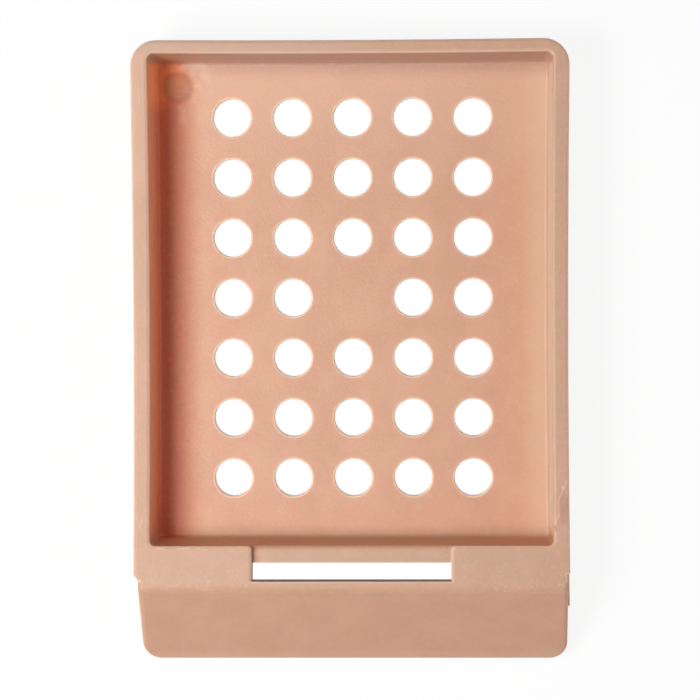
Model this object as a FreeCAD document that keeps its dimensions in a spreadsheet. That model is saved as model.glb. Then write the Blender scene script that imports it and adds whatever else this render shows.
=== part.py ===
"""Tissue cassette base: one open-topped injection moulding in acetal.

A shallow basket with a perforated floor, a solid shelf across its front with a
slot for the tongue of a lid, and a hollow writing block whose face slopes down
to the front. X runs across, Y from the front to the back, Z up. The origin lies
under the middle of the moulding, on the plane that it stands on. Millimetres.
"""

import FreeCAD, Part

import math
import os
import re

import Sketcher
from FreeCAD import Vector

NODE = "cassette_body"

CLOSE = 1e-4            # millimetres, between a point and the plane that it lies on
LEAST_CHANGE = 0.01     # cubic millimetres that the smallest pad or pocket adds or removes

# What a designer would change. Each value is written once, here.
SIZES = {
    # outside of the moulding
    "overall_length": 41.1,         # front edge of the nose to the back wall, at the corners
    "overall_width": 28.7,          # across the basket's corners
    "height": 6.0,
    "outer_draft": 0.7,             # degrees, outside faces lean in towards the bottom
    "side_bow": 0.12,               # long walls bow inwards by this much at half length
    "back_bow": 0.08,
    "back_corner_radius": 1.7,
    "front_corner_radius": 1.2,
    # basket
    "back_wall": 0.86,
    "side_wall": 1.1,
    "floor_thickness": 1.0,
    "cavity_draft": 2.0,            # degrees, on the front and the sides
    "cavity_back_draft": 5.0,       # degrees, the back wall thickens towards the floor
    "cavity_back_radius": 0.4,
    "cavity_front_radius": 0.35,
    "floor_fillet": 0.22,
    # perforation
    "hole_diameter": 2.5,
    "hole_pitch": 4.0,
    "hole_margin": 3.9,             # least distance from a hole's centre to the cavity's wall
    "hole_edge_radius": 0.1,
    # shelf, slot and recess for the lid's tongue
    "cross_wall": 1.14,             # between the cavity and the slot
    "slot_length": 1.2,
    "slot_width": 13.1,
    "slot_lip": 0.59,               # level strip between the slot and the writing slope
    "shelf_roof": 1.6,
    "recess_depth": 0.55,
    "recess_edge_radius": 0.45,
    "shelf_corner_radius": 0.3,     # where the recess opens into the cavity, seen from above
    # writing block
    "slope_run": 5.05,              # the writing slope, measured level
    "nose_height": 0.95,
    "slope_wall": 1.3,              # square to the slope
    "end_wall": 1.1,
    "hollow_corner_radius": 0.3,
    "slope_crest_radius": 0.9,
    "block_edge_radius": 0.35,
    "block_left_inset": 0.31,       # the block's sides stand this far inside the basket's
    "block_right_inset": 0.16,
    "block_draft": 0.5,             # degrees, the block's sides lean out towards the foot
    "rim_front": 6.15,              # from the nose back to where the basket's rim ends
    "ramp_length": 0.42,            # from there to the block, along the left side
    "cheek_front": 3.85,            # from the nose back to the end of the right side's cheek
    "cheek_land": 0.11,             # square to the slope, from its rounded edge to the cheek's top
    # edges left by the mould's polish
    "rim_edge_radius": 0.2,
    "inner_edge_radius": 0.2,
    "foot_edge_radius": 0.12,
    # marks of the mould
    "pin_mark_diameter": 1.9,
    "pin_mark_depth": 0.12,
    "pin_mark_from_side": 1.6,      # the mark's centre from the cavity's left wall, at the rim
    "pin_mark_from_back": 2.1,
    "gate_dimple_diameter": 2.2,
    "gate_dimple_depth": 0.3,
    "gate_nub_diameter": 0.9,
    "gate_nub_height": 0.18,
    # how far a cutting profile reaches past the face that it cuts through
    "overcut": 1.0,
}

# Worked out in the sheet from the sizes above.
DERIVED = {
    "back_y": "overall_length / 2",
    "front_y": "-overall_length / 2",
    "side_x": "overall_width / 2",
    "rim_front_y": "front_y + rim_front",
    "cheek_front_y": "front_y + cheek_front",
    "slope_top_y": "front_y + slope_run",
    "slot_front_y": "slope_top_y + slot_lip",
    "slot_back_y": "slot_front_y + slot_length",
    "slot_middle_y": "slot_front_y + slot_length / 2",
    "cavity_front_y": "slot_back_y + cross_wall",
    "cavity_back_y": "back_y - back_wall",
    "cavity_x": "side_x - side_wall",
    "cavity_depth": "height - floor_thickness",
    "floor_inset": "cavity_depth * tan(cavity_draft)",
    "floor_x": "cavity_x - floor_inset",
    "floor_front_y": "cavity_front_y + floor_inset",
    "floor_back_y": "cavity_back_y - cavity_depth * tan(cavity_back_draft)",
    "block_left_x": "side_x - block_left_inset",
    "block_right_x": "side_x - block_right_inset",
    "ramp_front_y": "rim_front_y - ramp_length",
    "block_flare": "tan(block_draft)",
    "side_bow_radius": "pow(cavity_back_y - rim_front_y; 2) / (8 * side_bow)",
    "back_bow_radius": "pow(overall_width; 2) / (8 * back_bow)",
    "front_draft_run": "(height - nose_height) * tan(outer_draft)",
    "slope_gradient": "(height - nose_height) / slope_run",
    "slope_stretch": "sqrt(1 + pow(slope_gradient; 2))",
    "slope_wall_upright": "slope_wall * slope_stretch",
    "cheek_below_slope": "(block_edge_radius + cheek_land) * slope_stretch",
    "cheek_drop": "height - nose_height - cheek_front * slope_gradient + cheek_below_slope",
    "roof_z": "height - shelf_roof",
    "roof_front_y": "slope_top_y + (slope_wall_upright - shelf_roof) / slope_gradient",
    "hollow_toe_y": "slope_top_y + (slope_wall_upright - height - overcut) / slope_gradient",
    "hollow_x": "block_left_x - end_wall",
    "slot_x": "slot_width / 2",
    "slot_depth": "shelf_roof + overcut",
    "recess_z": "height - recess_depth",
    "recess_wall_z": "recess_z - recess_edge_radius",
    "recess_wall_y": "cavity_front_y + (height - recess_wall_z) * tan(cavity_draft)",
    "recess_round_y": "recess_wall_y - recess_edge_radius",
    "grid_x": "0",
    "grid_y": "(cavity_front_y + cavity_back_y) / 2",
    "hole_columns": "floor((2 * cavity_x - 2 * hole_margin) / hole_pitch) + 1",
    "hole_rows": "floor((cavity_back_y - cavity_front_y - 2 * hole_margin) / hole_pitch) + 1",
}


def build_sheet(doc):
    """The spreadsheet that every feature reads its sizes from."""
    sheet = doc.addObject("Spreadsheet::Sheet", "Sizes")
    rows = [(name, str(value)) for name, value in SIZES.items()]
    rows += [(name, "=" + formula) for name, formula in DERIVED.items()]
    for row, (name, content) in enumerate(rows, start=1):
        sheet.set(f"A{row}", name)
        sheet.set(f"B{row}", content)
        sheet.setAlias(f"B{row}", name)
    doc.recompute()
    return sheet


def size(name):
    """The present value of a cell, for choosing edges and counting holes."""
    return float(FreeCAD.ActiveDocument.Sizes.get(name))


def cells(formula):
    """The formula with each of its cell names pointed at the sheet."""
    def point(match):
        word = match.group()
        return "Sizes." + word if word in SIZES or word in DERIVED else word
    return re.sub(r"[a-z_]+", point, formula)


def value_of(owner, formula):
    return float(owner.evalExpression(cells(formula)))


# Sketches

def add_sketch(body, name, plane_role, offset=None):
    """A sketch on one of the body's own planes, or parallel to it at an offset."""
    sketch = body.newObject("Sketcher::SketchObject", name)
    planes = [item for item in body.Origin.OriginFeatures if item.Role == plane_role]
    sketch.AttachmentSupport = (planes[0], [""])
    sketch.MapMode = "FlatFace"
    if offset:
        sketch.setExpression("AttachmentOffset.Base.z", cells(offset))
    return sketch


def constrain(sketch, kind, references, formula):
    """A dimension of the sketch, bound to the sheet."""
    start = value_of(sketch, formula)
    index = sketch.addConstraint(Sketcher.Constraint(kind, *references, start))
    sketch.setExpression(f"Constraints[{index}]", cells(formula))


def place(sketch, geometry, position, x_formula, y_formula):
    """Ties one point of the sketch to a place measured from its origin."""
    origin = (-1, 1)
    constrain(sketch, "DistanceX", (*origin, geometry, position), x_formula)
    constrain(sketch, "DistanceY", (*origin, geometry, position), y_formula)


def point_at(sketch, corner):
    x_formula, y_formula = corner
    return Vector(value_of(sketch, x_formula), value_of(sketch, y_formula), 0)


def bulged_arc(start, end, radius):
    """The short arc from start to end that leans to the left of the way between them."""
    chord = end - start
    across = Vector(-chord.y, chord.x, 0).normalize()
    rise = radius - math.sqrt(radius ** 2 - chord.Length ** 2 / 4)
    return Part.Arc(start, (start + end) / 2 + across * rise, end)


def first_ends(sketch, points):
    """Which end of each side, 1 or 2, lies at its own point of the outline.

    The sketcher keeps an arc counterclockwise, whichever way it was drawn.
    """
    ends = []
    for number, point in enumerate(points):
        gaps = {end: sketch.getPoint(number, end).distanceToPoint(point) for end in (1, 2)}
        ends.append(min(gaps, key=gaps.get))
    return ends


def add_outline(sketch, corners, bows=None):
    """A closed outline through the corners, each a pair of formulas.

    bows gives the radius of each side that is an arc, by the number of the
    corner where that side starts. It leans to the left of the way along it.
    """
    bows = bows or {}
    points = [point_at(sketch, corner) for corner in corners]
    count = len(points)
    for number, start in enumerate(points):
        end = points[(number + 1) % count]
        side = Part.LineSegment(start, end)
        if number in bows:
            side = bulged_arc(start, end, value_of(sketch, bows[number]))
        sketch.addGeometry(side, False)
    starts = first_ends(sketch, points)
    for number in range(count):
        after = (number + 1) % count
        far_end = 3 - starts[number]
        sketch.addConstraint(
            Sketcher.Constraint("Coincident", number, far_end, after, starts[after]))
    for number, corner in enumerate(corners):
        place(sketch, number, starts[number], *corner)
    for number, formula in bows.items():
        constrain(sketch, "Radius", (number,), formula)


def box_corners(left, right, front, back):
    return [(left, front), (right, front), (right, back), (left, back)]


def add_circle(sketch, x_formula, y_formula, diameter_formula):
    centre = point_at(sketch, (x_formula, y_formula))
    radius = value_of(sketch, diameter_formula) / 2
    number = sketch.addGeometry(Part.Circle(centre, Vector(0, 0, 1), radius), False)
    place(sketch, number, 3, x_formula, y_formula)
    constrain(sketch, "Diameter", (number,), diameter_formula)


# Features

def volume_of(body):
    return 0.0 if body.Shape.isNull() else body.Shape.Volume


def add_extrusion(body, kind, name, sketch, length, taper=None, **settings):
    """A pad or a pocket of the sketch. Its length and taper are formulas."""
    before = volume_of(body)
    feature = body.newObject("PartDesign::" + kind, name)
    feature.Profile = sketch
    feature.setExpression("Length", cells(length))
    if taper:
        feature.setExpression("TaperAngle", cells(taper))
    for setting, value in settings.items():
        setattr(feature, setting, value)
    FreeCAD.ActiveDocument.recompute()
    change = volume_of(body) - before
    if kind == "Pocket":
        change = -change
    if change < LEAST_CHANGE:
        raise RuntimeError(f"{name} didn't change the moulding as a {kind} does")
    return feature


def add_rounding(body, name, radius, wanted):
    """A fillet on the edges that wanted() picks, and on what runs on from them."""
    base = body.Tip
    picked = [f"Edge{number}" for number, edge in enumerate(base.Shape.Edges, start=1)
              if wanted(edge)]
    if not picked:
        raise RuntimeError(f"{name} found no edge to round")
    feature = body.newObject("PartDesign::Fillet", name)
    feature.Base = (base, picked)
    feature.setExpression("Radius", cells(radius))
    FreeCAD.ActiveDocument.recompute()
    if "Invalid" in feature.State:
        raise RuntimeError(f"{name} failed on {picked}")
    return feature


def middle_of(edge):
    return edge.CenterOfMass


def is_upright(edge):
    """True for an edge that climbs further than it strays."""
    rise = edge.Vertexes[-1].Point - edge.Vertexes[0].Point
    return abs(rise.z) > abs(rise.x) + abs(rise.y)


def is_level(edge, height):
    box = edge.BoundBox
    return abs(box.ZMin - height) < CLOSE and abs(box.ZMax - height) < CLOSE


def runs_across(edge):
    """True for an edge whose ends lie well apart along X."""
    return edge.BoundBox.XLength > edge.BoundBox.YLength + edge.BoundBox.ZLength


def level_face(shape, height):
    """The largest flat face at a height."""
    faces = [face for face in shape.Faces
             if isinstance(face.Surface, Part.Plane)
             and abs(abs(face.Surface.Axis.z) - 1) < CLOSE
             and abs(face.CenterOfMass.z - height) < CLOSE]
    return max(faces, key=lambda face: face.Area)


def is_among(edge, others):
    return any(middle_of(edge).distanceToPoint(middle_of(other)) < CLOSE for other in others)


# The moulding, feature by feature

def build_shell(body):
    """The outer block, whose walls bow inwards along the basket."""
    front = "front_y - front_draft_run"
    right_side = [("side_x", front), ("side_x", "cheek_front_y"), ("side_x", "back_y")]
    left_side = [("-" + x_formula, y_formula) for x_formula, y_formula in reversed(right_side)]
    bows = {1: "side_bow_radius", 2: "back_bow_radius", 3: "side_bow_radius"}
    sketch = add_sketch(body, "OuterOutline", "XY_Plane", "height")
    add_outline(sketch, right_side + left_side, bows)
    add_extrusion(body, "Pad", "Shell", sketch, "height", taper="-outer_draft", Reversed=True)

    back_line = size("cavity_back_y")
    add_rounding(body, "BackCorners", "back_corner_radius",
                 lambda edge: is_upright(edge) and middle_of(edge).y > back_line)


def cut_side(body, name, sign, inner_x, reach, foot):
    """Trims a side of the block from the nose back by reach, and down to the height foot.

    inner_x is where the block's side stands at the rim's height. The side leans
    out from there towards the foot.
    """
    lean = f"(height - ({foot})) * block_flare"
    corners = [
        (f"{sign}({inner_x} + {lean})", foot),
        (f"{sign}(side_x + overcut)", foot),
        (f"{sign}(side_x + overcut)", "height"),
        (f"{sign}{inner_x}", "height"),
    ]
    sketch = add_sketch(body, name + "Profile", "XZ_Plane", "overcut - front_y")
    add_outline(sketch, corners)
    add_extrusion(body, "Pocket", name, sketch, f"{reach} + overcut")


def build_writing_block(body):
    """Sets the block in from the basket's sides, and slopes its face to the nose."""
    cut_side(body, "LeftSide", "-", "block_left_x", "rim_front - ramp_length", "-overcut")
    cut_side(body, "RightSide", "", "block_right_x", "cheek_front", "-overcut")
    cut_side(body, "Cheek", "", "block_right_x", "rim_front", "height - cheek_drop")

    front_line = (size("front_y") + size("cheek_front_y")) / 2
    add_rounding(body, "FrontCorners", "front_corner_radius",
                 lambda edge: is_upright(edge) and middle_of(edge).y < front_line)

    profile = [
        ("front_y - overcut", "nose_height - overcut * slope_gradient"),
        ("slope_top_y", "height"),
        ("slope_top_y", "height + overcut"),
        ("front_y - overcut", "height + overcut"),
    ]
    sketch = add_sketch(body, "SlopeProfile", "YZ_Plane")
    add_outline(sketch, profile)
    add_extrusion(body, "Pocket", "WritingSlope", sketch, "overall_width", SideType="Symmetric")

    top = size("height")
    crest_y = size("slope_top_y")
    add_rounding(body, "SlopeCrest", "slope_crest_radius",
                 lambda edge: is_level(edge, top) and abs(middle_of(edge).y - crest_y) < CLOSE)
    nose_top = size("nose_height")
    add_rounding(body, "BlockEdges", "block_edge_radius",
                 lambda edge: is_level(edge, nose_top) and runs_across(edge))

    ramp = [
        ("-block_left_x", "ramp_front_y"),
        ("-side_x", "rim_front_y"),
        ("-side_x - overcut", "rim_front_y"),
        ("-side_x - overcut", "ramp_front_y"),
    ]
    sketch = add_sketch(body, "RampOutline", "XY_Plane", "height")
    add_outline(sketch, ramp)
    add_extrusion(body, "Pocket", "LeftRamp", sketch, "height")


def build_cavity(body):
    """The basket's inside, narrower at the floor so that it leaves the mould."""
    bows = {1: "side_bow_radius", 2: "back_bow_radius", 3: "side_bow_radius"}
    rim = add_sketch(body, "CavityRim", "XY_Plane", "height")
    add_outline(rim, box_corners("-cavity_x", "cavity_x", "cavity_front_y", "cavity_back_y"), bows)
    foot = add_sketch(body, "CavityFoot", "XY_Plane", "floor_thickness")
    add_outline(foot, box_corners("-floor_x", "floor_x", "floor_front_y", "floor_back_y"), bows)
    cavity = body.newObject("PartDesign::SubtractiveLoft", "Cavity")
    cavity.Profile = rim
    cavity.Sections = [foot]
    cavity.Ruled = True
    FreeCAD.ActiveDocument.recompute()

    inside_x = size("side_x") - size("side_wall") / 2
    inside_back = size("back_y") - size("back_wall") / 2
    floor = size("floor_thickness")

    def is_inside(edge):
        middle = middle_of(edge)
        return (abs(middle.x) < inside_x and middle.y < inside_back
                and middle.y > size("slot_back_y"))

    add_rounding(body, "CavityBackCorners", "cavity_back_radius",
                 lambda edge: is_upright(edge) and is_inside(edge) and middle_of(edge).y > 0)
    add_rounding(body, "CavityFrontCorners", "cavity_front_radius",
                 lambda edge: is_upright(edge) and is_inside(edge) and middle_of(edge).y < 0)
    add_rounding(body, "FloorFillet", "floor_fillet",
                 lambda edge: is_level(edge, floor) and is_inside(edge))


def build_hollow(body):
    """The space below the shelf and the slope, open underneath."""
    profile = [
        ("hollow_toe_y", "-overcut"),
        ("slot_back_y", "-overcut"),
        ("slot_back_y", "roof_z"),
        ("roof_front_y", "roof_z"),
    ]
    sketch = add_sketch(body, "HollowProfile", "YZ_Plane")
    add_outline(sketch, profile)
    add_extrusion(body, "Pocket", "Hollow", sketch, "2 * hollow_x", SideType="Symmetric")

    end_x = size("hollow_x")
    roof = size("roof_z")

    def is_on_end(edge):
        box = edge.BoundBox
        return box.XLength < CLOSE and abs(abs(box.XMax) - end_x) < CLOSE and box.ZMax > CLOSE

    add_rounding(body, "HollowCorners", "hollow_corner_radius",
                 lambda edge: is_on_end(edge) or (is_level(edge, roof) and runs_across(edge)))


def build_lid_seat(body):
    """The slot for the lid's tongue, and the recess that its bend lies in."""
    sketch = add_sketch(body, "SlotOutline", "XY_Plane", "height")
    add_outline(sketch, box_corners("-slot_x", "slot_x", "slot_front_y", "slot_back_y"))
    add_extrusion(body, "Pocket", "LidSlot", sketch, "slot_depth")

    profile = [
        ("slot_middle_y", "recess_z"),
        ("recess_round_y", "recess_z"),
        ("recess_wall_y", "recess_wall_z"),
        ("recess_wall_y + overcut", "recess_wall_z"),
        ("recess_wall_y + overcut", "height + overcut"),
        ("slot_middle_y", "height + overcut"),
    ]
    sketch = add_sketch(body, "RecessProfile", "YZ_Plane")
    add_outline(sketch, profile, {1: "recess_edge_radius"})
    add_extrusion(body, "Pocket", "Recess", sketch, "slot_width", SideType="Symmetric")

    end_x = size("slot_x")
    round_y = size("recess_round_y")

    foot_z = size("recess_wall_z")

    def is_shelf_corner(edge):
        middle = middle_of(edge)
        return (is_upright(edge) and abs(abs(middle.x) - end_x) < CLOSE
                and middle.y > round_y and middle.z > foot_z)

    add_rounding(body, "ShelfCorners", "shelf_corner_radius", is_shelf_corner)


def build_edges(body):
    """The small radii that the polished mould leaves round the rim and the foot."""
    top = level_face(body.Shape, size("height"))
    outside = top.OuterWire.Edges
    back_line = size("cavity_back_y")
    slot_front = size("slot_front_y")
    add_rounding(body, "RimEdge", "rim_edge_radius",
                 lambda edge: is_among(edge, outside) and middle_of(edge).y > back_line)

    top = level_face(body.Shape, size("height"))
    outside = top.OuterWire.Edges
    inside = [edge for wire in top.Wires for edge in wire.Edges if not is_among(edge, outside)]
    add_rounding(body, "InnerRimEdge", "inner_edge_radius",
                 lambda edge: is_among(edge, inside) and middle_of(edge).y > slot_front + CLOSE)

    foot = level_face(body.Shape, 0).OuterWire.Edges
    rim_front = size("rim_front_y")
    add_rounding(body, "FootEdge", "foot_edge_radius",
                 lambda edge: is_among(edge, foot) and middle_of(edge).y > rim_front)


def build_holes(body):
    """The flow holes, in a square grid that leaves a web for the gate in its middle."""
    columns = int(size("hole_columns"))
    rows = int(size("hole_rows"))
    clear_of_gate = (size("hole_diameter") + size("gate_dimple_diameter")) / 2
    sketch = add_sketch(body, "HoleGrid", "XY_Plane", "floor_thickness")
    for column in range(columns):
        for row in range(rows):
            across = column - (columns - 1) / 2
            along = row - (rows - 1) / 2
            if math.hypot(across, along) * size("hole_pitch") > clear_of_gate:
                add_circle(sketch, f"grid_x + {across} * hole_pitch", f"grid_y + {along} * hole_pitch",
                           "hole_diameter")
    add_extrusion(body, "Pocket", "FlowHoles", sketch, "floor_thickness")

    floor = size("floor_thickness")
    radius = size("hole_diameter") / 2
    add_rounding(body, "HoleEdges", "hole_edge_radius",
                 lambda edge: (is_level(edge, floor) and isinstance(edge.Curve, Part.Circle)
                               and abs(edge.Curve.Radius - radius) < CLOSE))


def build_mould_marks(body):
    """An ejector pin's print in the floor, and the broken-off gate under it."""
    sketch = add_sketch(body, "PinMarkOutline", "XY_Plane", "floor_thickness")
    add_circle(sketch, "-cavity_x + pin_mark_from_side", "cavity_back_y - pin_mark_from_back",
               "pin_mark_diameter")
    add_extrusion(body, "Pocket", "PinMark", sketch, "pin_mark_depth")

    sketch = add_sketch(body, "GateDimpleOutline", "XY_Plane")
    add_circle(sketch, "grid_x", "grid_y", "gate_dimple_diameter")
    add_extrusion(body, "Pocket", "GateDimple", sketch, "gate_dimple_depth", Reversed=True)

    sketch = add_sketch(body, "GateNubOutline", "XY_Plane", "gate_dimple_depth")
    add_circle(sketch, "grid_x", "grid_y", "gate_nub_diameter")
    add_extrusion(body, "Pad", "GateNub", sketch, "gate_nub_height", Reversed=True)


STAGES = [
    build_shell,
    build_writing_block,
    build_cavity,
    build_hollow,
    build_lid_seat,
    build_edges,
    build_holes,
    build_mould_marks,
]


def build(doc):
    build_sheet(doc)
    body = doc.addObject("PartDesign::Body", "CassetteBody")
    body.Label = NODE
    for stage in STAGES:
        stage(body)
        print(f"{stage.__name__}: {volume_of(body):.2f} cubic millimetres")
    return body


def check(doc, body):
    """Stops on a failed feature or an unsound solid."""
    for item in doc.Objects:
        if {"Invalid", "Error"} & set(item.State):
            raise RuntimeError(f"{item.Label} is in the state {item.State}")
    shape = body.Shape
    if shape.isNull() or not shape.isValid() or len(shape.Solids) != 1:
        raise RuntimeError(f"{body.Label} isn't one sound solid")


document = FreeCAD.newDocument("TissueCassette")
cassette = build(document)
document.recompute()
check(document, cassette)
print(cassette.Shape.optimalBoundingBox(True, False))
os.makedirs("parts", exist_ok=True)
cassette.Shape.exportStep(f"parts/{cassette.Label}.step")
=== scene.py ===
import math

import bpy
from mathutils import Euler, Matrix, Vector


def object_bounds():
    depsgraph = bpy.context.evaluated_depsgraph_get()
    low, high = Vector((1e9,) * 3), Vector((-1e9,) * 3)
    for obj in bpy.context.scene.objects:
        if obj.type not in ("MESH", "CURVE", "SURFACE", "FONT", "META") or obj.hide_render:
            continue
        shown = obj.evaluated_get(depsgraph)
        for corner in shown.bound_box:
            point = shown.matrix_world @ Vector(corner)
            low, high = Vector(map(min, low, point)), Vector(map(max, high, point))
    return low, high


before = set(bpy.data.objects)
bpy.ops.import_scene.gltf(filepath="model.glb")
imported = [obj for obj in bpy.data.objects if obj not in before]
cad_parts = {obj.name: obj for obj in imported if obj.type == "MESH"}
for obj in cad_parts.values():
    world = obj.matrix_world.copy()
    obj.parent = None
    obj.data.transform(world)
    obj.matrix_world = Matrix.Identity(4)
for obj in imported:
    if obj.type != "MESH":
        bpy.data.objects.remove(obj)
cadLow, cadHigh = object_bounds()
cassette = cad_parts["cassette_body"]
print("cassette loaded")

millimetre = 0.001


def linearColour(sRgbHex):
    # sRGB hex to linear red, green, blue and alpha
    channels = [int(sRgbHex[i:i + 2], 16) / 255 for i in (0, 2, 4)]
    curved = [c / 12.92 if c <= 0.04045 else ((c + 0.055) / 1.055) ** 2.4 for c in channels]
    return (*curved, 1.0)


# Camera: a long lens almost straight above, a little behind and to the right of the middle
cameraValues = {
    "place": (7.8, 9.45, 239.36),       # millimetres from under the cassette's middle
    "tilt": (-2.258, 1.912, -0.231),    # degrees about X, Y and Z
    "lens": 184.1,
    "sensor": 36,
    "nearAndFar": (0.01, 10),           # metres
}


def makeCamera():
    data = bpy.data.cameras.new("camera")
    data.lens = cameraValues["lens"]
    data.sensor_width = cameraValues["sensor"]
    data.clip_start, data.clip_end = cameraValues["nearAndFar"]
    camera = bpy.data.objects.new("camera", data)
    camera.location = Vector(cameraValues["place"]) * millimetre
    camera.rotation_euler = Euler([math.radians(angle) for angle in cameraValues["tilt"]])
    bpy.context.scene.collection.objects.link(camera)
    bpy.context.scene.camera = camera


makeCamera()
print("camera placed")


# Materials

def addNode(tree, kind, settings=None, inputs=None, output=0):
    # settings are the node's own properties; an input is a value, or a socket to link from;
    # the output asked for comes back, or the node itself where it has none
    node = tree.nodes.new("ShaderNode" + kind)
    for name, value in (settings or {}).items():
        setattr(node, name, value)
    for name, value in (inputs or {}).items():
        if isinstance(value, bpy.types.NodeSocket):
            tree.links.new(value, node.inputs[name])
        else:
            node.inputs[name].default_value = value
    return node.outputs[output] if len(node.outputs) else node


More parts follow.
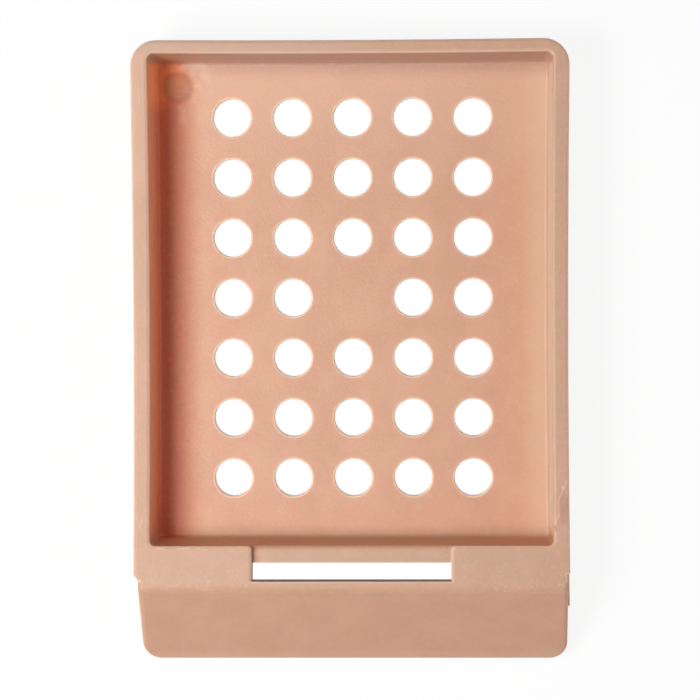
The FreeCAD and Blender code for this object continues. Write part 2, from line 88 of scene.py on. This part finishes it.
# Acetal, injection moulded: satin, slightly waxy, light sinks a little way in
cassetteValues = {
    "colour": "D0A083",                 # peach; all colours here are sRGB
    "roughness": (0.44, 0.58),          # from fleck to fleck
    "index": 1.48,
    "scatter": 0.8,
    "scatterRadii": (0.6, 0.32, 0.22),  # how far red, green and blue sink in, in millimetres

    # bumps and rounded edges, in millimetres
    "grainDepth": 0.012,
    "wearDepth": 0.025,
    "edgeWidth": 0.2,
    "edgeSamples": 6,

    # noise: the size of one patch in millimetres, and its detail
    "noiseRoughness": 0.55,
    "noiseMiddle": (0.3, 0.7),          # most of a noise's values lie between these
    "patterns": {
        "clouds": (2.6, 4.0),
        "flecks": (0.35, 2.0),
        "blush": (1.6, 2.0),
        "smears": (0.8, 1.0),
        "wobble": (1.2, 2.0),
        "specks": (0.3, 3.0),
        "speckGroups": (1.8, 2.0),
        "grain": (0.2, 3.0),            # the real spark-eroded grain of 0.05 is too fine to show
    },

    # places in millimetres in the cassette's frame, whose origin is under its middle
    "places": {
        "wallX": 13.25,                 # the cavity's sides at the rim
        "cavityFront": -12.57,
        "cavityBack": 19.69,
        "glowCentre": (-12.95, 18.09, 0.0),
        "glowWobble": 0.3,
        "markCentre": (-11.65, 17.59, 0.0),     # the ejector pin's print
        "markRadius": 0.95,
        "slotHalf": 6.55,               # half the lid slot's length
        "holePitch": 4.0,
        "holeMiddle": (0.0, 3.56, 0.0),     # where the grid of holes leaves one out
        "frontFoot": 0.3,               # how much nearer the front wall's foot is than the others'
    },

    # Regions and finishes have a share and bounds. A bound is a region, or what it goes by, where
    # that fades out, where it is full, and the share left where it has faded out if not 0.
    "regions": {
        "cavity": (1.0, [("z", 0.5, 0.75), ("fromTop", 0.15, 0.5), ("fromSide", -0.3, -0.1),
                         ("fromFront", -0.2, 0.0), ("fromBack", -0.3, 0.0)]),
        "foot": (1.0, ["cavity", ("z", 2.0, 1.6), ("fromWalls", 1.2, 0.9)]),
        "topFace": (1.0, [("fromTop", 0.45, -0.1)]),
        "recess": (1.0, [("fromTop", 0.75, 0.6), ("pastSlot", 0.02, -0.02),
                         ("fromFront", -1.8, -1.6), ("fromFront", 0.2, -0.1)]),
        "roughShelf": (1.0, ["topFace", ("pastSlot", 0.0, 0.4), ("fromFront", -3.63, -3.03),
                             ("fromFront", -0.83, -1.83), ("specks", 0.52, 0.7),
                             ("speckGroups", 0.35, 0.6, 0.2)]),
        "rim": (0.7, [("fromTop", 0.3, 0.15), ("fromTop", 0.01, 0.06), ("y", -15.05, -14.9)]),
        "rounded": (1.0, [("turn", 0.99, 0.86)]),
        "rightLip": (1.0, [("fromTop", 0.6, 0.3), ("fromRight", 0.5, 0.2),
                           ("fromRight", -0.6, -0.3), ("fromFront", -0.2, 0.4),
                           ("fromBack", 0.0, 0.5)]),
    },

    # sRGB colour, share and bounds, painted one over the other in this order
    "finishes": {
        # where the melt flowed unevenly
        "clouds": ("E2B598", 0.3, [("clouds", 0.35, 0.7)]),
        # painted light: the floor greyer and paler at its back end
        "floorBackLight": ("D8B49C", 0.55, [("fromBack", 9.7, 1.7), ("z", 2.0, 1.5)]),
        # and paler beside the right wall, which throws light on it
        "floorRight": ("D5B79C", 0.5, ["cavity", ("fromRight", 2.2, 0.9), ("z", 1.5, 1.15)]),
        # the left wall and the floor beside it, where light only arrives through plastic
        "besideWall": ("DE8862", 1.0, ["cavity", ("fromLeft", 3.6, 0.9), ("z", 7.0, 2.0, 0.5)]),
        "floorLeft": ("D77A54", 0.6, ["cavity", ("fromLeft", 2.3, 0.9), ("z", 2.6, 1.6)]),
        # that wall's foot, where most of that light arrives
        "wallFoot": ("FF8F5E", 0.3, ["cavity", ("fromLeft", 0.9, 0.5), ("z", 2.6, 1.6)]),
        # painted shade on the floor just below the back wall
        "shadeBelowBackWall": ("BD9480", 0.85, ["cavity", ("z", 1.5, 1.3), ("fromBack", 1.8, 0.6)]),
        # the back left corner, which light reaches through two walls
        "glow": ("FFA066", 1.0, ["cavity", ("fromGlow", 2.6, 0.9), ("fromBack", 0.3, 0.7),
                                 ("z", 6.0, 2.0, 0.5)]),
        # the right wall, paler
        "paleRightWall": ("E7C9B1", 1.0, [("z", 1.15, 1.6), ("fromTop", 0.1, 0.3), ("fromRight", 0.6, 0.3),
                                  ("fromRight", -0.3, -0.1), ("fromFront", 0.4, 1.2),
                                  ("fromBack", 0.5, 0.9)]),
        # the back wall, greyer
        "greyBackWall": ("BD9480", 1.0, ["cavity", ("z", 1.4, 2.0), ("fromBack", 0.7, 0.4)]),
        # the front wall, painted deeper as shade, since little light falls on it
        "shadedFrontWall": ("C68F70", 1.0, ["cavity", ("z", 1.4, 2.2), ("fromFront", 0.8, 0.4)]),
        # pale smears beside the ejector pin's print, the print, and painted shade along its sunken
        # border
        "smears": ("ECD2BC", 0.3, ["cavity", ("z", 1.5, 1.3), ("smears", 0.42, 0.66),
                                   ("pastMark", 0.05, 0.35), ("pastMark", 2.25, 0.65),
                                   ("fromLeft", 1.35, 1.95)]),
        "mark": ("C9906C", 0.6, ["cavity", ("pastMark", 0.2, -0.4)]),
        "markEdgeShade": ("A5603C", 0.3, ["cavity", ("pastMark", -0.4, -0.05),
                                       ("pastMark", 0.3, 0.0)]),
        # the slope's low end
        "nose": ("E2B598", 0.3, [("fromNose", 0.75, 0.25)]),
        # top faces, greyer, with pinker patches
        "rubbed": ("C6A084", 1.0, ["rubbed"]),
        "blush": ("D0A48F", 0.5, ["rubbed", ("blush", 0.45, 0.65)]),
        # a flattened patch on the right rim, painted darker as shade where the flat tilts away from
        # the light
        "flattened": ("B98C74", 0.6, [("fromTop", 0.3, 0.1), ("fromRight", -0.25, -0.5),
                                      ("fromFront", 1.17, 1.77), ("diagonal", 5.2, 4.4)]),
        # painted light: the left rim lighter at its outer back end; the back rim cooler
        "leftRimHighlight": ("EBC4AC", 0.22, ["rubbed", ("fromLeft", 0.25, -0.15), ("fromBack", 10.7, 7.7)]),
        "backRim": ("C6A894", 0.6, ["rubbed", ("fromBack", 0.2, -0.2), ("fromRight", 7.0, 16.5)]),
        # the recess's left end, in shade
        "slotEnd": ("A5603C", 0.6, ["recess", ("fromSlotEnd", 0.7, 0.0)]),
        # flecks all over
        "flecks": ("E2B598", 0.22, [("flecks", 0.5, 0.75)]),
        # rough specks on the shelf beside the slot
        "specks": ("ECD2BC", 0.3, ["roughShelf"]),
        # round the flow holes, where light comes up through the edge
        "holes": ("F6DFCC", 0.75, [("z", 1.2, 1.05), ("fromHole", 1.42, 1.26),
                                   ("holesX", 10.0, 9.9), ("holesY", 14.0, 13.9),
                                   ("fromMiddle", 1.6, 1.8)]),
        # rounded edges, painted pale as highlights where they catch the light, less so along the
        # right wall
        "edges": ("EBCFB8", 0.9, ["edges", ("pastMark", 0.25, 0.45), ("foot", 1.0, 0.0),
                                  ("rightLip", 1.0, 0.0, 0.4)]),
    },

    # nicks and scratches: start, end and width in millimetres, and how far they stand up, where
    # 1 is wearDepth; they are on the top faces alone
    "scratches": [
        ((14.14, -8.28), (13.61, -9.46), 0.24, 0.4),
        ((13.58, -9.46), (13.60, -10.57), 0.24, 0.25),
        ((13.60, -10.57), (13.30, -11.03), 0.26, 0.4),
        ((13.84, -8.70), (13.86, -8.78), 0.24, 0.9),
        ((13.34, -11.32), (13.42, -11.52), 0.28, -1.0),
        ((-13.65, -10.74), (-13.86, -11.33), 0.13, 1.0),
        ((-13.80, 17.17), (-13.63, 16.83), 0.11, 1.0),
        ((-13.71, 16.83), (-13.68, 16.38), 0.11, 0.8),
        ((-13.92, 15.72), (-14.05, 15.40), 0.11, 0.8),
        ((-12.72, -12.66), (-12.25, -12.74), 0.13, 0.8),
        ((-11.35, -12.72), (-10.65, -12.66), 0.14, 0.9),
        ((-10.20, -12.68), (-9.40, -12.80), 0.12, 0.6),
    ],
    "scratchBounds": [("fromTop", 0.4, 0.2)],
    "scratchShare": 0.8,
    "scratchColour": "EBCFB8",
    "dentColour": "A57658",
    "speckHeight": 0.6,                 # of the specks on the shelf, where 1 is wearDepth
}


def addRegion(tree, goesBy, share, bounds):
    # the share that is left within all the bounds
    for bound in bounds:
        if isinstance(bound, str):
            factor = goesBy[bound]
        else:
            name, faded, full, *rest = bound
            factor = addNode(tree, "MapRange", {"interpolation_type": "SMOOTHSTEP"}, {
                "Value": goesBy[name], "From Min": faded, "From Max": full,
                "To Min": rest[0] if rest else 0.0})
        share = addNode(tree, "Math", {"operation": "MULTIPLY"}, {0: share, 1: factor})
    return share


def paint(tree, goesBy, below, above, share, bounds):
    # sockets 6, 7 and 2 of the Mix node are its two colours and the mixed one
    region = addRegion(tree, goesBy, share, bounds)
    return addNode(tree, "Mix", {"data_type": "RGBA"},
                   {0: region, 6: below, 7: linearColour(above)}, 2)


def measureCassette(tree, place, flat):
    # what the bounds go by: lengths in millimetres, and noise from 0 to 1
    places = cassetteValues["places"]
    x, y, z = addNode(tree, "SeparateXYZ", inputs={0: place}).node.outputs
    across = addNode(tree, "Math", {"operation": "ABSOLUTE"}, {0: x})
    fromMark = addNode(tree, "VectorMath", {"operation": "DISTANCE"},
                       {0: flat, 1: places["markCentre"]}, "Value")
    goesBy = {"y": y, "z": z}
    for name, more, less in (("fromTop", cadHigh.z / millimetre, z),
                             ("fromNose", y, cadLow.y / millimetre),
                             ("fromLeft", x, -places["wallX"]),
                             ("fromRight", places["wallX"], x),
                             ("fromSide", places["wallX"], across),
                             ("fromFront", y, places["cavityFront"]),
                             ("fromBack", places["cavityBack"], y),
                             ("fromSlotEnd", x, -places["slotHalf"]),
                             ("pastSlot", across, places["slotHalf"]),
                             ("pastMark", fromMark, places["markRadius"])):
        goesBy[name] = addNode(tree, "Math", {"operation": "SUBTRACT"}, {0: more, 1: less})
    goesBy["diagonal"] = addNode(tree, "Math", {"operation": "ADD"}, {0: x, 1: y})
    nearest = addNode(tree, "Math", {"operation": "ADD"},
                      {0: goesBy["fromFront"], 1: places["frontFoot"]})
    for name in ("fromBack", "fromSide"):
        nearest = addNode(tree, "Math", {"operation": "MINIMUM"}, {0: nearest, 1: goesBy[name]})
    goesBy["fromWalls"] = nearest

    for name, (size, detail) in cassetteValues["patterns"].items():
        goesBy[name] = addNode(tree, "TexNoise", inputs={
            "Vector": place, "Scale": 1 / size, "Detail": detail,
            "Roughness": cassetteValues["noiseRoughness"]})

    # the glow's distance wobbles, so that its border isn't a circle
    fromGlow = addNode(tree, "VectorMath", {"operation": "DISTANCE"},
                       {0: flat, 1: places["glowCentre"]}, "Value")
    few, many = cassetteValues["noiseMiddle"]
    wobble = addNode(tree, "MapRange", {"interpolation_type": "SMOOTHSTEP"}, {
        "Value": goesBy["wobble"], "From Min": few, "From Max": many,
        "To Min": -places["glowWobble"], "To Max": places["glowWobble"]})
    goesBy["fromGlow"] = addNode(tree, "Math", {"operation": "ADD"}, {0: fromGlow, 1: wobble})

    # every hole has the same place within its own square of the grid
    middle = addNode(tree, "VectorMath", {"operation": "SUBTRACT"},
                     {0: flat, 1: places["holeMiddle"]})
    goesBy["fromMiddle"] = addNode(tree, "VectorMath", {"operation": "LENGTH"},
                                   {0: middle}, "Value")
    spread = addNode(tree, "VectorMath", {"operation": "ABSOLUTE"}, {0: middle})
    goesBy["holesX"], goesBy["holesY"], _ = addNode(tree, "SeparateXYZ",
                                                    inputs={0: spread}).node.outputs
    half = places["holePitch"] / 2
    square = addNode(tree, "VectorMath", {"operation": "WRAP"},
                     {0: middle, 1: (half, half, 1), 2: (-half, -half, -1)})
    goesBy["fromHole"] = addNode(tree, "VectorMath", {"operation": "LENGTH"},
                                 {0: square}, "Value")

    # near an edge, the surface's own direction and the one smoothed over edgeWidth part
    smoothed = addNode(tree, "Bevel", {"samples": cassetteValues["edgeSamples"]},
                       {"Radius": cassetteValues["edgeWidth"] * millimetre})
    own = addNode(tree, "NewGeometry", output="Normal")
    goesBy["turn"] = addNode(tree, "VectorMath", {"operation": "DOT_PRODUCT"},
                             {0: smoothed, 1: own}, "Value")
    return goesBy


def measureScratch(tree, flat, start, end):
    # how far a point is from the line between start and end
    way = Vector((*end, 0)) - Vector((*start, 0))
    apart = addNode(tree, "VectorMath", {"operation": "SUBTRACT"}, {0: flat, 1: (*start, 0)})
    along = addNode(tree, "VectorMath", {"operation": "DOT_PRODUCT"},
                    {0: apart, 1: tuple(way / way.length_squared)}, "Value")
    along = addNode(tree, "Clamp", inputs={"Value": along})
    nearest = addNode(tree, "VectorMath", {"operation": "SCALE"}, {0: tuple(way), "Scale": along})
    return addNode(tree, "VectorMath", {"operation": "DISTANCE"}, {0: apart, 1: nearest}, "Value")


def makeAcetal():
    material = bpy.data.materials.new("mouldedAcetal")
    material.use_nodes = True
    tree = material.node_tree
    tree.nodes.clear()
    values = cassetteValues
    place = addNode(tree, "VectorMath", {"operation": "SCALE"}, {
        0: addNode(tree, "TexCoord", output="Object"), "Scale": 1 / millimetre})
    flat = addNode(tree, "VectorMath", {"operation": "MULTIPLY"}, {0: place, 1: (1, 1, 0)})
    goesBy = measureCassette(tree, place, flat)
    for name, (share, bounds) in values["regions"].items():
        goesBy[name] = addRegion(tree, goesBy, share, bounds)
    for name, first, second in (("rubbed", "topFace", "recess"), ("edges", "rim", "rounded")):
        goesBy[name] = addNode(tree, "Math", {"operation": "MAXIMUM"},
                               {0: goesBy[first], 1: goesBy[second]})

    colour = linearColour(values["colour"])
    for finish, share, bounds in values["finishes"].values():
        colour = paint(tree, goesBy, colour, finish, share, bounds)

    # Scratches: pale where they stand up, dark where they are dents
    height = 0.0
    for start, end, width, rise in values["scratches"]:
        goesBy["fromLine"] = measureScratch(tree, flat, start, end)
        goesBy["line"] = addRegion(tree, goesBy, abs(rise),
                                   [("fromLine", width / 2, 0.0)] + values["scratchBounds"])
        finish = values["scratchColour" if rise > 0 else "dentColour"]
        colour = paint(tree, goesBy, colour, finish, values["scratchShare"], ["line"])
        height = addNode(tree, "Math", {"operation": "ADD" if rise > 0 else "SUBTRACT"},
                         {0: height, 1: goesBy["line"]})
    height = addNode(tree, "Math", {"operation": "MULTIPLY_ADD"},
                     {0: goesBy["roughShelf"], 1: values["speckHeight"], 2: height})

    few, many = values["noiseMiddle"]
    low, high = values["roughness"]
    roughness = addNode(tree, "MapRange", {"interpolation_type": "SMOOTHSTEP"}, {
        "Value": goesBy["flecks"], "From Min": few, "From Max": many,
        "To Min": low, "To Max": high})
    grain = addNode(tree, "Bump", inputs={
        "Height": goesBy["grain"], "Distance": values["grainDepth"] * millimetre})
    wear = addNode(tree, "Bump", inputs={
        "Height": height, "Distance": values["wearDepth"] * millimetre, "Normal": grain})
    shader = addNode(tree, "BsdfPrincipled", inputs={
        "Base Color": colour,
        "Roughness": roughness,
        "IOR": values["index"],
        "Subsurface Weight": values["scatter"],
        "Subsurface Radius": values["scatterRadii"],
        "Subsurface Scale": millimetre,
        "Normal": wear,
    })
    addNode(tree, "OutputMaterial", inputs={"Surface": shader})
    return material


acetal = makeAcetal()
for slot in cassette.material_slots:
    slot.material = acetal
print("acetal assigned")


# Floor and light
studioValues = {
    "floorSize": 2.0,               # metres
    "floorColour": "F2F2F2",
    "floorGap": 0.02,               # millimetres below the cassette, so that the two don't flicker
    "shadowShare": 0.1,             # how much of the real floor shows around the cassette
    # where that starts, is full and has faded, 1 being the cassette's own outline
    "shadowBounds": [("away", 0.9, 1.0), ("away", 3.0, 1.4)],
    "worldColour": "FFFFFF",
    "worldStrength": 0.085,
    # each lamp's place and size in metres, and its power
    "key": ((-0.07, -0.014, 0.15), 0.062, 0.27),
    "fill": ((0.26, -0.04, 0.12), 0.2, 0.2),
}


def whiteToCamera(tree, surface, shown=0.0):
    # the camera sees plain white, less the share shown; every other ray sees the real surface
    camera, glossy, through = (addNode(tree, "LightPath", output=name) for name in (
        "Is Camera Ray", "Is Glossy Ray", "Is Transmission Ray"))
    seen = addNode(tree, "Math", {"operation": "MAXIMUM"}, {0: camera, 1: glossy})
    seen = addNode(tree, "Math", {"operation": "MAXIMUM"}, {0: seen, 1: through})
    hidden = addNode(tree, "Math", {"operation": "SUBTRACT"}, {0: 1.0, 1: shown})
    share = addNode(tree, "Math", {"operation": "MULTIPLY"}, {0: seen, 1: hidden})
    white = addNode(tree, "Emission", inputs={"Color": linearColour("FFFFFF")})
    return addNode(tree, "MixShader", inputs={0: share, 1: surface, 2: white})


def makeFloor():
    half = studioValues["floorSize"] / 2
    corners = [(-half, -half, 0), (half, -half, 0), (half, half, 0), (-half, half, 0)]
    mesh = bpy.data.meshes.new("floor")
    mesh.from_pydata(corners, [], [(0, 1, 2, 3)])
    floor = bpy.data.objects.new("floor", mesh)
    floor.location.z = cadLow.z - studioValues["floorGap"] * millimetre
    bpy.context.scene.collection.objects.link(floor)
    material = bpy.data.materials.new("paper")
    material.use_nodes = True
    tree = material.node_tree
    tree.nodes.clear()
    paper = addNode(tree, "BsdfDiffuse",
                    inputs={"Color": linearColour(studioValues["floorColour"])})
    outline = addNode(tree, "VectorMath", {"operation": "DIVIDE"}, {
        0: addNode(tree, "TexCoord", output="Object"), 1: (cadHigh.x, cadHigh.y, 1)})
    outline = addNode(tree, "VectorMath", {"operation": "ABSOLUTE"}, {0: outline})
    x, y, _ = addNode(tree, "SeparateXYZ", inputs={0: outline}).node.outputs
    away = addNode(tree, "Math", {"operation": "MAXIMUM"}, {0: x, 1: y})
    shown = addRegion(tree, {"away": away}, studioValues["shadowShare"],
                      studioValues["shadowBounds"])
    addNode(tree, "OutputMaterial", inputs={"Surface": whiteToCamera(tree, paper, shown)})
    mesh.materials.append(material)


def makeWorld():
    world = bpy.data.worlds.new("studio")
    world.use_nodes = True
    tree = world.node_tree
    tree.nodes.clear()
    soft = addNode(tree, "Background", inputs={
        "Color": linearColour(studioValues["worldColour"]),
        "Strength": studioValues["worldStrength"],
    })
    addNode(tree, "OutputWorld", inputs={"Surface": whiteToCamera(tree, soft)})
    bpy.context.scene.world = world


def makeLamp(name):
    place, size, power = studioValues[name]
    data = bpy.data.lights.new(name, "AREA")
    data.size = size
    data.energy = power
    lamp = bpy.data.objects.new(name, data)
    lamp.location = place
    lamp.rotation_euler = (-lamp.location).to_track_quat("-Z", "Y").to_euler()
    bpy.context.scene.collection.objects.link(lamp)


makeFloor()
makeWorld()
for lampName in ("key", "fill"):
    makeLamp(lampName)
bpy.context.scene.view_settings.view_transform = "Standard"
print("studio lit")
